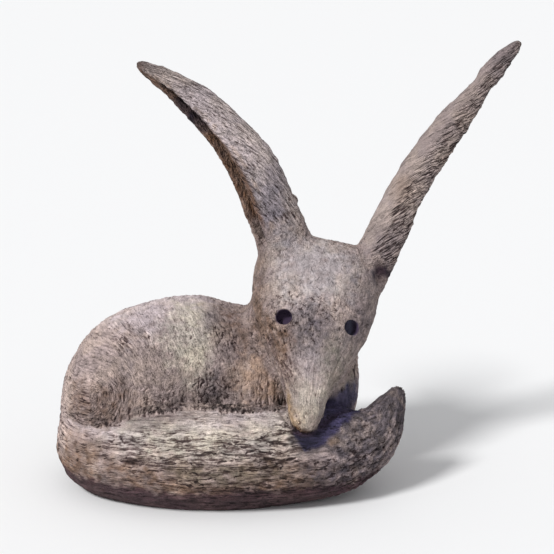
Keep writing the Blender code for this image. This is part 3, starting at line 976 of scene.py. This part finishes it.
# %% Lay the washes over one another
# Each wash: x, y and z of its middle, its reach in x, y and z, all in millimetres, its pigment,
# its strength, and the region where it lies
# Most washes are pigment; the ones marked below are painted shade or painted light
WASHES = [
    (-117, 30, 182, 90, 90, 44, "mauve", 0.95, "body"),
    (-196, -30, 128, 34, 60, 34, "stone", 0.5, "body"),
    (-90, -18, 146, 29, 60, 44, "cream", 0.9, "body"),
    (-44, 10, 152, 38, 60, 40, "umber", 0.65, "body"),
    (-22, -10, 150, 20, 50, 44, "umber", 0.5, "all"),
    (-72, -4, 159, 9, 24, 10, "slate", 0.5, "body"),
    (-59, -18, 146, 12, 30, 14, "slate", 0.4, "body"),
    (-51, -27, 131, 12, 30, 14, "slate", 0.35, "body"),
    (-65, -37, 108, 24, 30, 16, "slate", 0.55, "body"),
    (-21, -36, 114, 26, 40, 30, "rust", 0.9, "body"),
    (-51, -36, 112, 15, 30, 15, "umber", 0.45, "body"),
    (-150, -48, 128, 10, 34, 30, "slate", 0.45, "body"),
    (-179, -60, 96, 40, 40, 24, "umber", 0.6, "body"),
    (58, -34, 120, 26, 50, 30, "olive", 0.8, "body"),
    (-179, -75, 74, 52, 44, 12, "mauve", 0.6, "tail"),
    (-190, -72, 55, 36, 50, 20, "umber", 0.6, "tail"),
    (-203, -52, 26, 38, 60, 25, "umber", 0.95, "tail"),
    (-70, -105, 72, 115, 50, 26, "sage", 0.6, "tail"),
    (-85, -100, 80, 60, 50, 12, "cream", 0.35, "tail"),
    (-36, -75, 92, 60, 40, 12, "mauve", 0.7, "tail"),
    (-60, -112, 35, 190, 90, 25, "umber", 0.85, "tail"),
    (-60, -112, 44, 60, 60, 12, "olive", 0.4, "tail"),
    (-14, -88, 86, 30, 30, 12, "cream", 0.5, "tail"),
    # Darker on the tail's right end, which turns from the lamp: slate pigment and painted shade
    (75, -80, 45, 66, 60, 70, "slate", 0.8, "tail"),
    # Painted shadow of the nose on the tail
    (24, -98, 71, 18, 24, 10, "deep", 0.9, "tail"),
    # The same slate pigment and painted shade on the tail's tip
    (104, -45, 88, 34, 40, 34, "slate", 0.95, "tail"),
    (20, -10, 215, 62, 50, 44, "ash", 0.85, "head"),
    (30, -60, 150, 40, 50, 50, "ash", 0.3, "head"),
    (-18, -15, 208, 14, 50, 38, "umber", 0.35, "head"),
    (-27, 2, 182, 9, 34, 16, "umber", 0.6, "all"),
    (-19, -18, 164, 9, 34, 16, "umber", 0.6, "all"),
    (24, -45, 162, 32, 40, 26, "slate", 0.7, "head"),
    (-6, -45, 152, 16, 30, 26, "umber", 0.75, "head"),
    (26, -70, 124, 16, 40, 30, "mauve", 0.35, "head"),
    (-1, -62, 135, 12, 26, 24, "umber", 0.35, "head"),
    (12, -88, 100, 18, 30, 26, "cream", 0.45, "head"),
    (0, -82, 100, 8, 24, 26, "umber", 0.35, "head"),
    # Painted light on the muzzle's shaded right side
    (33, -82, 103, 12, 24, 20, "cream", 0.45, "head"),
    (46, -58, 132, 16, 34, 26, "olive", 0.5, "head"),
    (1, -84, 98, 7, 24, 20, "ochre", 0.3, "head"),
    (6, -91, 88, 12, 14, 14, "ochre", 0.35, "head"),
    # Painted shade on the nose's underside, over brown pigment at its tip
    (17, -95, 77, 13, 12, 4, "deep", 0.9, "all"),
    (8, -94, 81, 12, 12, 5, "bark", 0.8, "head"),
    (17, -97, 78, 14, 10, 4, "bark", 0.9, "head"),
    # Darker on the head's right side, which turns from the lamp: slate pigment and painted shade
    (78, -20, 180, 24, 60, 55, "slate", 0.45, "head"),
    (-26, 0, 215, 9, 50, 70, "umber", 0.5, "head"),
    (30, 30, 340, 260, 80, 130, "ash", 0.6, "ear"),
    (-26, 4, 275, 36, 40, 40, "steel", 0.5, "ear"),
    (98, 8, 232, 24, 40, 34, "slate", 0.38, "all"),
    (110, 10, 287, 14, 30, 20, "umber", 0.35, "ear"),
    # Painted shade in the hollow at the right ear's root
    (98, 8, 205, 13, 20, 12, "deep", 0.95, "all"),
    (-143, 26, 402, 12, 30, 7, "bark", 0.8, "ear"),
    (-8, 5, 248, 24, 40, 20, "steel", 0.35, "all"),
    (150, 25, 330, 90, 60, 120, "umber", 0.36, "ear"),
    (-50, 15, 345, 50, 40, 60, "mauve", 0.55, "ear"),
    (-128, 26, 396, 26, 30, 22, "slate", 0.2, "ear"),
    (212, 34, 412, 26, 30, 26, "slate", 0.4, "ear"),
    # Painted shade on the chest and neck beside the nook
    (62, -20, 86, 40, 60, 19, "chest_shade_paint", 1.0, "body"),
    (46, -100, 68, 7, 20, 6, "ochre", 0.3, "tail"),
    (-60, 30, 330, 260, 90, 160, "bark", 0.9, "hollow"),
    # Painted shade deep in the left ear's hollow
    (-88, 30, 356, 28, 40, 24, "deep", 0.85, "hollow"),
    (-40, 30, 310, 20, 40, 24, "umber", 0.4, "hollow"),
]


ragged = 0.2 * pattern(points, 22 * MM, 50) + 0.2 * pattern(points, 8 * MM, 51)
ragged += 0.26 * pattern(points, 3.5 * MM, 52)
mottled = 0.55 * pattern(points, 5 * MM, 53) + 0.4 * pattern(points, 2.8 * MM, 54)
mottled = 1 + mottled * (1 - 0.7 * in_ear)
inward = (normals * unit(where["ear_offset"])).sum(1)
far_lip = step(-0.38, -0.5, ear_side) * step(0.5, 0.1, normals[:, 1]) * is_left
where["in_hollow"] = in_ear * np.maximum(step(0.1, -0.35, inward), far_lip)


def cloud(middle, reach):
    """A soft cloud with a ragged edge: 1 in its middle and 0 beyond its reach."""
    return step(1.25, 0.35, far_from(middle, reach) + ragged)


def covered(colour, pigment, share):
    """A colour at each point, covered to a share by a pigment or a painted shade."""
    return colour + (pigment - colour) * share[:, None]


pigment_and_painted_light = np.tile(PIGMENTS_AND_PAINTED_SHADES["stone"], (len(points), 1))
for x, y, z, reach_x, reach_y, reach_z, pigment, strength, region in WASHES:
    share = strength * cloud((x, y, z), (reach_x, reach_y, reach_z)) * where.get("in_" + region, 1)
    pigment_and_painted_light = covered(pigment_and_painted_light, PIGMENTS_AND_PAINTED_SHADES[pigment], np.clip(share * mottled, 0, 1))
print(len(WASHES), "washes give a mean pigment of", np.round(pigment_and_painted_light.mean(0), 3))

# %% [markdown]
# ## Painted shade, and dark places
# Some colour follows the form rather than a cloud. Shade is painted dark under the fox, in the eye
# holes and in the nook, and a patch of painted light lies in the right eye's hole. The gouged lines get
# dark pigment and painted shade. The lip of the left ear has a warm edge. The chest right of the jaw
# gets a painted shade bluer than the nook's, which is darkest right under the nose.

# %% Paint shade under the fox, in the eyes and the nook, and darken the gouges
# Shade is painted dark under the fox, in a ragged band along its base
painted_underside_shade = step(32, 23, z_mm + 14 * ragged)
# Shade is painted inside the eye holes, and painted light on the left part of the right eye's hole
in_eye = step(9 * MM, 8 * MM, from_eye) * step(-0.5 * MM, -2.5 * MM, above_eye)
eye_hole_painted_light = in_eye * step(4, -2, x_mm - EYES[1][0][0] / MM) * step(50, 60, x_mm)
# Painted shade on the chest right of the jaw, bluer than the nook's
painted_chest_shade = patch((56, -50, 86), (26, 40, 16)) * in_body * (1 - in_tail)
# Painted shadow right under the nose, where the nook's painted shade is darkest
painted_shadow_under_nose = patch((19, -95, 74), (26, 28, 16))
speckled = 0.16 * pattern(points, 6 * MM, 64) + 0.14 * pattern(points, 3 * MM, 65)

# Painted shade under the fox
pigment_and_painted_light = covered(pigment_and_painted_light, PIGMENTS_AND_PAINTED_SHADES["painted_shade_and_groove_pigment"], 0.9 * painted_underside_shade)
pigment_and_painted_light = covered(pigment_and_painted_light, PIGMENTS_AND_PAINTED_SHADES["ochre"], 0.2 * lip_line * (ragged > 0))
# Painted shade in the eye holes, and painted light in part of the right one
pigment_and_painted_light = covered(pigment_and_painted_light, EYE_HOLE_PAINTED_SHADE, in_eye)
pigment_and_painted_light = covered(pigment_and_painted_light, EYE_HOLE_PAINTED_LIGHT, eye_hole_painted_light)
# Shade is painted into the nook between the nose, the neck and the tail
pigment_and_painted_light = covered(pigment_and_painted_light, PIGMENTS_AND_PAINTED_SHADES["nook_shade_paint"], 0.97 * in_shade_painted_nook)
# Painted shade on the chest
pigment_and_painted_light = covered(pigment_and_painted_light, PIGMENTS_AND_PAINTED_SHADES["chest_shade_paint"], 0.9 * painted_chest_shade)
pigment_and_painted_light *= (1 - 0.66 * in_shade_painted_nook * painted_shadow_under_nose)[:, None]
# The tail's bark is painted lighter on its ridges and darker in its furrows: painted highlight and
# shade over the pigment
pigment_and_painted_light *= (1 + 0.4 * bark)[:, None]
# The cut lines are darkened with dark pigment and with painted shade of the creases and folds they cut
pigment_and_painted_light = covered(pigment_and_painted_light, PIGMENTS_AND_PAINTED_SHADES["painted_shade_and_groove_pigment"], (0.45 + 0.45 * whiskers) * np.clip(gouged / 2.5, 0, 1))
# Random speckles of tone, and on the tail the ropes painted lighter on their ridges and darker in their
# furrows as painted highlight and shade
pigment_and_painted_light *= (1 + speckled * (1 - 0.6 * in_ear) + 0.3 * ropes)[:, None]
print("with the dark places the mean pigment is", np.round(pigment_and_painted_light.mean(0), 3))

# %% [markdown]
# ## Where pigment settles
# A wash runs into the marks and dries dark there. How much it does so differs from place to place,
# and so does the skin: strands in some places, crumbs in others, and nearly smooth on the back and
# the forehead. Three more maps say so, and the material reads them.

# %% Where dark pigment gathers
# Each stain: its place and its reach, in millimetres, and how much more pigment it holds
STAINS = [
    ((-72, -4, 159), (12, 24, 12), 0.15),
    ((-59, -18, 146), (14, 30, 15), 0.45),
    ((-51, -27, 131), (14, 30, 15), 0.45),
    ((-65, -37, 106), (24, 30, 16), 0.55),
    ((-176, -60, 98), (24, 40, 14), 0.25),
    ((-19, -36, 114), (26, 40, 24), -0.3),
]


patchy = np.clip(0.72 + 1.1 * pattern(points, 4 * MM, 61), 0, 1)
top_band = by_crease * in_tail * step(-22, -9, above_crease)
left_cheek = np.exp(-(((x_mm + 16) / 18) ** 2) - ((z_mm - 152) / 34) ** 2) * front
forehead = cloud((28, -10, 212), (50, 50, 30)) * in_head
thigh_line = cloud((-154, -40, 125), (18, 50, 40)) * in_body
left_root = cloud((-14, 10, 268), (34, 50, 30)) * in_ear
tail_end = step(-175, -205, x_mm) * step(90, 75, z_mm)
inner_ear = in_ear * (1 - is_left) * (1 - comb_side) * step(0.3, -0.3, normals[:, 1])
calm_places = [
    cloud((-115, 50, 185), (95, 90, 44)) * in_body,
    0.5 * cloud((-195, -20, 150), (34, 50, 34)) * in_body,
    inner_ear,
    cloud((-185, -75, 76), (44, 40, 12)) * in_tail,
    0.35 * top_band,
]
calm = np.max(calm_places, axis=0)

in_streaks = (0.06 + 0.5 * streak_band + 0.25 * low_streaks) * in_tail
gather = 0.44 + 0.6 * fringe * patchy + in_streaks + 0.18 * brow
for middle, reach, amount in STAINS:
    gather += amount * cloud(middle, reach)
gather += (
    0.25 * tail_end * in_tail
    + 0.15 * thigh_line
    + 0.2 * left_root
    - 0.15 * forehead
    + 0.1 * comb_side
    - 0.4 * calm
)
gather += 0.3 * pattern(points, 26 * MM, 60) + 0.24 * pattern(points, 10 * MM, 62)
gather = np.clip(gather, 0, 1)
gather = np.clip(gather + 0.25 * left_cheek + 0.2 * far_right, 0, 1)
# The fringe above the tail is darkened with dark pigment and with painted shade of the crease under the
# haunch
fringe_pigment_and_crease_shade = (0.68 + 0.16 * step(-90, -60, x_mm)) * np.clip(fringe * patchy, 0, 1)
pigment_and_painted_light *= (1 - fringe_pigment_and_crease_shade)[:, None]
print("pigment gathers on", f"{(gather > 0.6).mean():.0%}", "of the skin")

# %% Where the skin is crumbly, and where it is quiet
rough = 0.1 + 0.65 * flank + 0.3 * in_head + 0.15 * muzzle + 0.65 * far_right
rough = rough + 0.6 * brow + left_cheek + 0.6 * ear_roots
rough = np.clip(rough, 0, 1)
quiet = in_eye + 0.5 * calm + 0.45 * forehead + 0.25 * muzzle + 0.3 * in_shade_painted_nook
quiet += 0.3 * cloud((-20, -36, 114), (26, 40, 24)) * in_body + 0.6 * painted_chest_shade
quiet = np.clip(quiet + 0.4 * cloud((-185, -75, 52), (44, 50, 22)) * in_tail, 0, 1)
print("crumbly:", f"{(rough > 0.5).mean():.0%},", "quiet:", f"{(quiet > 0.5).mean():.0%}")

# %% [markdown]
# ## Keep the maps, and thin the skin
# The material can only read what is kept on the mesh, so each map becomes an attribute of its
# points. Then the skin is thinned to fewer triangles, which carries the attributes along. Thinning
# can move a point by a hair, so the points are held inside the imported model's box once more.

# %% Keep the maps on the skin, and thin it
MOST_TRIANGLES = 196000
KINDS = {1: ("FLOAT", "value"), 3: ("FLOAT_VECTOR", "vector")}


def keep(thing, name, values):
    """Stores one number, vector or colour for each point."""
    values = np.asarray(values, np.float32)
    kind, field = KINDS[1 if values.ndim == 1 else 3]
    thing.data.attributes.new(name, kind, "POINT").data.foreach_set(field, values.ravel())


for name, values in {
    "grain_a": squeezed(grain_a, stretch_a),
    "grain_b": squeezed(grain_b, stretch_b),
    "share_b": share_b,
    "groove": groove,
    "ridge": ridge / MM,
    "gather": gather,
    "rough": rough,
    "quiet": quiet,
    "comb": comb_side + 0.4 * in_ear * is_left,
    "long_grain": squeezed(grain_b, LONG_STRETCH),
    "swirl": swirl,
    "pigment_and_painted_light": pigment_and_painted_light,
}.items():
    keep(fox, name, values)

thin = fox.modifiers.new("thin", "DECIMATE")
thin.ratio = min(1.0, MOST_TRIANGLES / (2 * len(fox.data.polygons)))
apply_modifiers(fox)
fox.data.polygons.foreach_set("use_smooth", [True] * len(fox.data.polygons))
write_points(fox, np.clip(read_points(fox), low, high))
triangles = sum(len(p.vertices) - 2 for p in fox.data.polygons)
print("the finished skin has", triangles, "triangles")

# %% [markdown]
# ## The stone's material
# Shader maths reads best as plain expressions, so one small class wraps a socket and lets Python's
# operators add the Math nodes. Everything else comes from one method, which takes a node's type,
# its settings and the values or links of its sockets.

# %% A socket that can be calculated with
class Wire:
    """A node's output, which can be added, multiplied and so on, as a number is."""

    tree = None

    def __init__(self, socket):
        self.socket = socket

    @classmethod
    def node(cls, kind, settings=None, values=None, output=0):
        """Adds a node, sets it, fills or links its sockets, and returns one of its outputs, if any."""
        made = cls.tree.nodes.new(kind)
        for name, value in (settings or {}).items():
            setattr(made, name, value)
        for socket, value in (values or {}).items():
            if isinstance(value, Wire):
                cls.tree.links.new(value.socket, made.inputs[socket])
            else:
                made.inputs[socket].default_value = value
        return cls(made.outputs[output]) if made.outputs else None

    def math(self, operation, other, swapped=False):
        """A Math node of this value and another one."""
        first, second = (other, self) if swapped else (self, other)
        return Wire.node("ShaderNodeMath", {"operation": operation}, {0: first, 1: second})

    def __add__(self, other):
        return self.math("ADD", other)

    __radd__ = __add__

    def __sub__(self, other):
        return self.math("SUBTRACT", other)

    def __rsub__(self, other):
        return self.math("SUBTRACT", other, swapped=True)

    def __mul__(self, other):
        return self.math("MULTIPLY", other)

    __rmul__ = __mul__


stone = bpy.data.materials.new("cast_stone")
stone.use_nodes = True
stone.node_tree.nodes.clear()
Wire.tree = stone.node_tree
print("the material", stone.name, "is empty and ready")

# %% Mixing, reading maps, and noise
def mapped(wire, low_end, high_end):
    """0 below the low end, 1 above the high end, and smooth between."""
    settings = {"interpolation_type": "SMOOTHSTEP"}
    return Wire.node("ShaderNodeMapRange", settings, {0: wire, 1: low_end, 2: high_end})


def mixed(share, first, second):
    """One colour turned into another by a share."""
    return Wire.node("ShaderNodeMix", {"data_type": "RGBA"}, {0: share, 6: first, 7: second}, 2)


def blended(share, first, second):
    """One number turned into another by a share."""
    return Wire.node("ShaderNodeMix", {"data_type": "FLOAT"}, {0: share, 2: first, 3: second})


def multiplied(first, second):
    """Two colours multiplied, as one pigment over another."""
    settings = {"data_type": "RGBA", "blend_type": "MULTIPLY"}
    return Wire.node("ShaderNodeMix", settings, {0: 1.0, 6: first, 7: second}, 2)


def brightened(colour, amount):
    """A colour times a number."""
    settings = {"operation": "SCALE"}
    return Wire.node("ShaderNodeVectorMath", settings, {0: colour, "Scale": amount})


def stored(name, output="Fac"):
    """A map that was kept on the skin."""
    return Wire.node("ShaderNodeAttribute", {"attribute_name": name}, output=output)


def noise(where_from, scale, detail=2.0, roughness=0.5, distortion=0.0):
    """Noise of so many grains to a metre, in the given coordinates."""
    values = {"Vector": where_from, "Scale": scale, "Detail": detail}
    values.update({"Roughness": roughness, "Distortion": distortion})
    return Wire.node("ShaderNodeTexNoise", None, values)


along_a, along_b = stored("grain_a", "Vector"), stored("grain_b", "Vector")
share = stored("share_b")


def combed(scale, detail, roughness=0.6, distortion=0.0):
    """Noise in the grain of every region, which shows as strokes."""
    first = noise(along_a, scale, detail, roughness, distortion)
    second = noise(along_b, scale, detail, roughness, distortion)
    return blended(share, first, second)


print("the grain is read by", len(stone.node_tree.nodes), "nodes")

# %% [markdown]
# ## Strands, crumbs and comb teeth
# Marks finer than the skin's points, about 1.9 mm apart once thinned, can't be geometry, so the
# material has them: fine strands along the grain, crumbs, the comb's teeth on the ears and long
# arcs on the thigh. The maps say how much of each a place shows. A surface near 0.5 is neither
# raised nor sunk.

# %% Build the fine surface
place = Wire.node("ShaderNodeTexCoord", output="Object")
fine = combed(600, 2.0, distortion=0.6)
bold = combed(230, 2.0, distortion=0.5)
specks = noise(place, 950, 2, 0.6)
crumbs = noise(place, 520, 3, 0.7)
lumps = noise(place, 230, 3, 0.6)
is_comb = stored("comb")

hair = fine * 0.54 + bold * 0.24 + crumbs * 0.12 + lumps * 0.10
long_grain = stored("long_grain", "Vector")
arcs = noise(long_grain, 900, 1.0, distortion=0.3) * 0.5 + noise(long_grain, 560, 1.0) * 0.5
arcs = (arcs - 0.5) * 1.4 + 0.5
hair = blended(stored("swirl") * 0.42, hair, arcs)
grit = fine * 0.14 + crumbs * 0.42 + lumps * 0.44
teeth = combed(820, 1.0, distortion=0.4) * 0.55 + combed(460, 1.0, distortion=0.3) * 0.45
teeth = (teeth - 0.5) * 1.9 + 0.5
is_quiet = stored("quiet")
surface = blended(stored("rough"), hair, grit)
surface = blended(is_quiet, blended(is_comb, surface, teeth), 0.5)
print("the fine surface takes", len(stone.node_tree.nodes), "nodes")

# %% [markdown]
# ## Scratches
# A dry brush and a scraper leave thin lines that break off and go on. Noise passes through its
# middle value along thin winding lines, so the places near that value make a scratch. A second line
# beside it is its bright lip, a painted highlight, and a coarse noise breaks both.

# %% Scratch the surface
def valley(wire, width):
    """Sharp-edged grooves where the noise passes through its middle value, and flat banks between."""
    off = (wire - 0.5).math("ABSOLUTE", 0.0)
    return mapped(off, 0.0, width)


lines = combed(170, 1.5, distortion=0.6)
broken = mapped(noise(place, 200, 2), 0.44, 0.60)
scratch = (1 - valley(lines, 0.035)) * broken
lip = (1 - valley(lines - 0.05, 0.03)) * broken
print("with scratches it takes", len(stone.node_tree.nodes), "nodes")

# %% [markdown]
# ## Dark in the marks, light on the ridges
# The level says how low a place lies and how much pigment it holds. Below one level a dark shade
# of the wash shows, and below a second one a nearly black core. Above, the tone follows the surface
# closely, more so where pigment settles, which gives the stone its crisp contrast. That tone is partly
# painted light: raised places, burrs and the scratches' lips are painted lighter and low places darker.

# %% Colour the stone
DARK_TINT, CORE_TINT = (0.27, 0.20, 0.20, 1), (0.09, 0.07, 0.08, 1)
SHADY_TINT, SUNNY_TINT = (0.88, 0.86, 0.89, 1), (1.10, 1.07, 1.03, 1)
DARKEST, BRIGHTEST = 0.35, 1.8

settles, raised = stored("gather"), stored("ridge")
heavy = mapped(settles, 0.5, 0.85)
level = surface - stored("groove") * 0.16 - scratch * (0.06 + 0.14 * heavy) - (settles - 0.4) * 0.10
dark = 1 - mapped(level, 0.30, 0.42)
core = 1 - mapped(level, 0.22, 0.32)
# The tone is painted lighter on raised places and burrs and darker on low ones: painted highlight and
# shade of the fine relief, over the pigment
tone = (surface - 0.5) * (3.7 + 3.8 * settles) + 1.10 + (raised - 0.1) * 0.45
# A painted highlight on the lip beside each scratch
tone = tone + lip * (0.12 + 0.25 * heavy)
tone = tone + (specks - 0.5) * (1.7 + 1.5 * is_comb) * (1 - 0.6 * is_quiet)
tone = tone.math("MAXIMUM", DARKEST).math("MINIMUM", BRIGHTEST)

stored_pigment_and_painted_light = stored("pigment_and_painted_light", "Color")
clouds = mapped(noise(place, 34, 5, 0.6), 0.40, 0.62)
colour = brightened(stored_pigment_and_painted_light, tone)
colour = mixed(dark * 0.85, colour, multiplied(stored_pigment_and_painted_light, DARK_TINT))
colour = mixed(core * 0.8, colour, multiplied(stored_pigment_and_painted_light, CORE_TINT))
colour = multiplied(colour, mixed(clouds, SHADY_TINT, SUNNY_TINT))
print("with its colour it takes", len(stone.node_tree.nodes), "nodes")

# %% [markdown]
# ## A dull, bumpy finish
# Cast stone hardly shines. The same fine surface that tints the stone also bumps it, so that light
# and pigment agree on where a strand is.

# %% Finish the stone
BUMP_HEIGHT = 0.0065
SHINE = 0.28

height = surface - scratch * 0.12 + lip * 0.06
bump = {"Strength": 1.0, "Distance": BUMP_HEIGHT, "Height": height}
finish = {
    "Base Color": colour,
    "Roughness": 0.86 + 0.1 * crumbs,
    "Specular IOR Level": SHINE,
    "Normal": Wire.node("ShaderNodeBump", None, bump),
}
shader = Wire.node("ShaderNodeBsdfPrincipled", None, finish)
Wire.node("ShaderNodeOutputMaterial", None, {"Surface": shader})
fox.data.materials.clear()
fox.data.materials.append(stone)
print("the stone has", len(stone.node_tree.nodes), "nodes")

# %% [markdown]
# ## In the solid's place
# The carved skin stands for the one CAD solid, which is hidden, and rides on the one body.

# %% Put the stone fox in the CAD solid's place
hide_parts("fox")
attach(fox, "root")

# %% [markdown]
# ## A plain studio
# A pale floor, a bright even surround and one large soft lamp from the upper left, as in the
# photograph, where the tail's right end and the right cheek fall into shade.

# %% Lay the floor
FLOOR_SIDE = 60.0
PALE, PAPER_ROUGHNESS = (0.86, 0.86, 0.86, 1), 0.9

floor_mesh = bpy.data.meshes.new("floor")
half = FLOOR_SIDE / 2
corners = [(-half, -half, 0), (half, -half, 0), (half, half, 0), (-half, half, 0)]
floor_mesh.from_pydata(corners, [], [(0, 1, 2, 3)])
floor = bpy.data.objects.new("floor", floor_mesh)
bpy.context.scene.collection.objects.link(floor)
paper = bpy.data.materials.new("pale_paper")
paper.use_nodes = True
paper_finish = paper.node_tree.nodes["Principled BSDF"].inputs
paper_finish["Base Color"].default_value = PALE
paper_finish["Roughness"].default_value = PAPER_ROUGHNESS
floor_mesh.materials.append(paper)
print("the floor is", FLOOR_SIDE, "m wide")

# %% Light it
SURROUND, SURROUND_STRENGTH = (0.97, 0.98, 1.0, 1), 0.55
LAMP_FROM = Vector((-0.55, -0.52, 0.72))
LAMP_STRENGTH, LAMP_SOFTNESS = 2.6, math.radians(14)

world = bpy.data.worlds.new("surround")
world.use_nodes = True
background = world.node_tree.nodes["Background"].inputs
background["Color"].default_value = SURROUND
background["Strength"].default_value = SURROUND_STRENGTH
bpy.context.scene.world = world

lamp_data = bpy.data.lights.new("key", "SUN")
lamp_data.energy = LAMP_STRENGTH
lamp_data.angle = LAMP_SOFTNESS
lamp = bpy.data.objects.new("key", lamp_data)
lamp.location = LOOKS_AT + LAMP_FROM * 2
lamp.rotation_euler = LAMP_FROM.to_track_quat("Z", "Y").to_euler()
bpy.context.scene.collection.objects.link(lamp)
bpy.context.scene.view_settings.view_transform = "Standard"
print("the lamp stands at", tuple(round(c, 2) for c in lamp.location))
